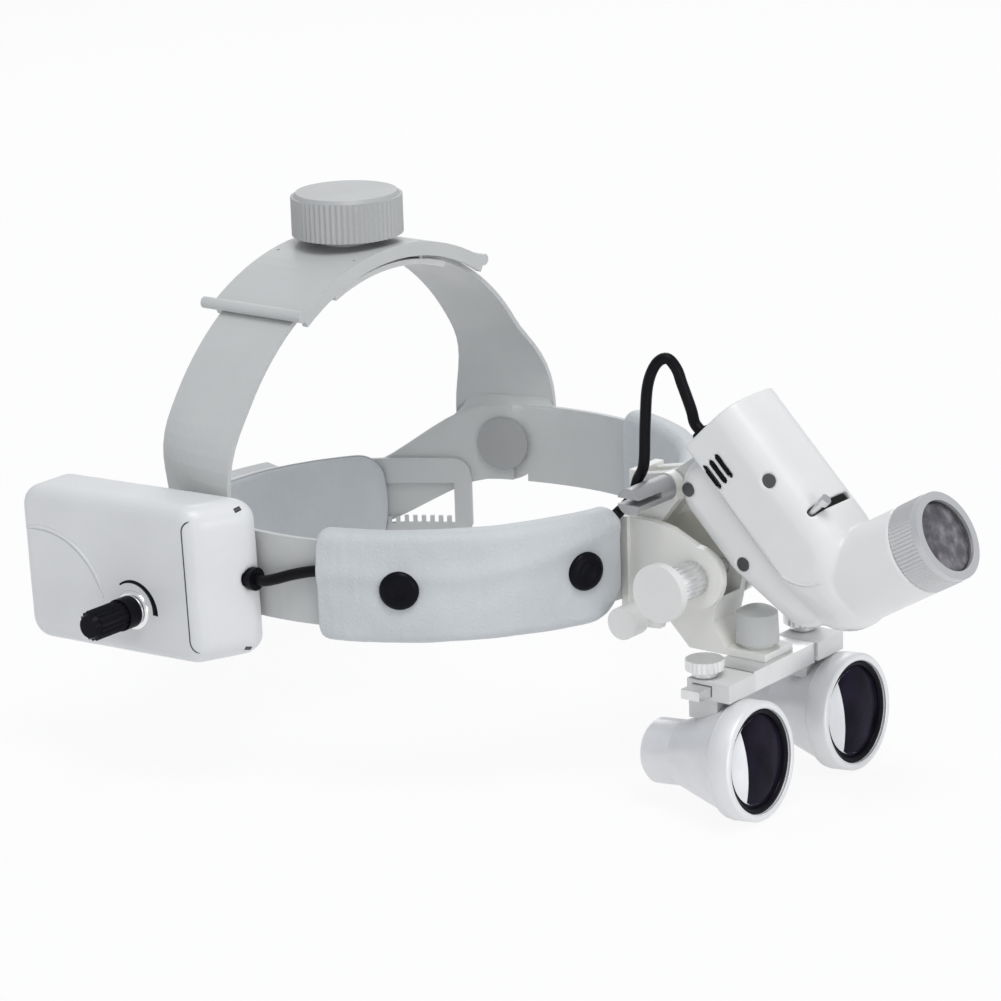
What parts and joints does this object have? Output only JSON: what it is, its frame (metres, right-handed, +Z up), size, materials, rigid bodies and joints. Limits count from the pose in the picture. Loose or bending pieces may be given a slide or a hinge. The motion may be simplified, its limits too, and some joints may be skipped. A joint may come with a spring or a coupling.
{
  "type": "head visor magnifier",
  "caption": "Adjustable headband carrying two magnifying loupe barrels on a crossbar, an elbow-shaped headlamp above them and a battery box with a dimmer at the side.",
  "frame": {"origin": "centre of the head opening, at the band's mid height", "axes": "+X towards the wearer's left, -Y forwards to the lamp and loupes, +Z up towards the crown"},
  "size_m": [0.2163, 0.3142, 0.174],
  "materials": {
    "grey_plastic": "satin",
    "pale_plastic": "matt",
    "white_leatherette": "fine grain",
    "black_plastic": "gloss",
    "white_plastic": "soft gloss",
    "cell_sleeve": "shrink sleeve",
    "circuit_board": "board",
    "steel": "plated",
    "aluminium": "satin silver",
    "black_rubber": "smooth",
    "cream_plastic": "translucent gloss",
    "clear_glass": "polished",
    "coated_glass": "violet anti-reflection coating",
    "mirror": "first-surface mirror"
  },
  "bodies": {
    "frame": {"headband": "grey_plastic", "crown_strap_left": "grey_plastic", "crown_strap_right": "grey_plastic", "rear_arm_left": "grey_plastic", "rear_arm_right": "grey_plastic", "junction_rivets": "grey_plastic", "crown_cover": "grey_plastic", "crown_plate": "pale_plastic", "nape_housing": "grey_plastic", "nape_plate": "pale_plastic", "forehead_pad_left": "white_leatherette", "forehead_pad_right": "white_leatherette", "nape_pad": "white_leatherette", "snap_caps": "black_plastic", "box_saddle": "grey_plastic", "box_inner_case": "white_plastic", "box_outer_case": "white_plastic", "battery_cells": "cell_sleeve", "dimmer_board": "circuit_board", "dimmer_pot": "steel", "dimmer_ring": "aluminium", "charging_socket": "black_plastic", "box_grommet": "black_rubber", "box_screws": "steel", "lamp_cable": "black_rubber", "front_bracket": "cream_plastic", "hinge_pin": "steel", "hub_pin": "steel"},
    "crown_adjuster": {"crown_knob": "grey_plastic", "crown_pinion": "pale_plastic"},
    "nape_adjuster": {"nape_knob": "grey_plastic", "nape_pinion": "pale_plastic"},
    "dimmer": {"dimmer_knob": "black_plastic"},
    "lamp": {"lamp_shell_left": "white_plastic", "lamp_shell_right": "white_plastic", "lamp_tab": "pale_plastic", "lamp_collar": "aluminium", "led_module": "aluminium", "condenser_lens": "clear_glass", "lamp_mirror": "mirror", "lamp_grommet": "black_rubber", "lamp_screws": "steel"},
    "focus": {"focus_ring": "aluminium", "lamp_lens": "coated_glass"},
    "filter": {"filter_slide": "steel"},
    "loupe_mount": {"loupe_arm": "cream_plastic", "crossbar": "aluminium"},
    "bridge_clamp": {"bridge_knob": "grey_plastic"},
    "lock": {"lock_knob": "white_plastic"},
    "height_clamp": {"height_knob": "white_plastic"},
    "slide_left": {"slide_block_left": "pale_plastic", "barrel_left": "aluminium", "objective_lens_left": "coated_glass", "eye_lens_left": "clear_glass"},
    "slide_right": {"slide_block_right": "pale_plastic", "barrel_right": "aluminium", "objective_lens_right": "coated_glass", "eye_lens_right": "clear_glass"},
    "clamp_left": {"thumb_screw_left": "aluminium"},
    "clamp_right": {"thumb_screw_right": "aluminium"}
  },
  "joints": [
    {"name": "crown_knob_turn", "type": "hinge", "parent": "frame", "child": "crown_adjuster", "pos_m": [0, 0.0338, 0.09], "axis": [0, 0, 1], "continuous": true},
    {"name": "nape_knob_turn", "type": "hinge", "parent": "frame", "child": "nape_adjuster", "pos_m": [0, 0.1, -0.021], "axis": [0, 1, 0], "continuous": true},
    {"name": "dimmer_turn", "type": "hinge", "parent": "frame", "child": "dimmer", "pos_m": [-0.11, 0.03752, -0.01163], "axis": [-1, 0, 0], "range_deg": [0, 270]},
    {"name": "lamp_tilt", "type": "hinge", "parent": "frame", "child": "lamp", "pos_m": [0, -0.097, 0.024], "axis": [-1, 0, 0], "range_deg": [-4, 25], "deforming": ["lamp_cable"]},
    {"name": "focus_turn", "type": "hinge", "parent": "lamp", "child": "focus", "pos_m": [0, -0.18578, 0.0165], "axis": [0, -0.866, 0.5], "range_deg": [0, 120]},
    {"name": "filter_shift", "type": "slide", "parent": "lamp", "child": "filter", "axis": [1, 0, 0], "range_m": [0, 0.0115]},
    {"name": "loupe_flip", "type": "hinge", "parent": "frame", "child": "loupe_mount", "pos_m": [0, -0.11, -0.0025], "axis": [-1, 0, 0], "range_deg": [-7, 7]},
    {"name": "bridge_clamp_turn", "type": "hinge", "parent": "loupe_mount", "child": "bridge_clamp", "pos_m": [0, -0.126, -0.02], "axis": [0, 0, 1], "range_deg": [0, 90]},
    {"name": "lock_turn", "type": "hinge", "parent": "frame", "child": "lock", "pos_m": [-0.029, -0.11, -0.0025], "axis": [-1, 0, 0], "continuous": true},
    {"name": "height_clamp_turn", "type": "hinge", "parent": "frame", "child": "height_clamp", "pos_m": [-0.022, -0.0925, -0.0165], "axis": [-1, 0, 0], "continuous": true},
    {"name": "left_barrel_shift", "type": "slide", "parent": "loupe_mount", "child": "slide_left", "axis": [1, 0, 0], "range_m": [0, 0.007]},
    {"name": "right_barrel_shift", "type": "slide", "parent": "loupe_mount", "child": "slide_right", "axis": [-1, 0, 0], "range_m": [0, 0.007]},
    {"name": "left_clamp_turn", "type": "hinge", "parent": "slide_left", "child": "clamp_left", "pos_m": [0.0273, -0.1248, -0.025], "axis": [0, 0, 1], "continuous": true},
    {"name": "right_clamp_turn", "type": "hinge", "parent": "slide_right", "child": "clamp_right", "pos_m": [-0.0273, -0.1248, -0.025], "axis": [0, 0, 1], "continuous": true}
  ]
}
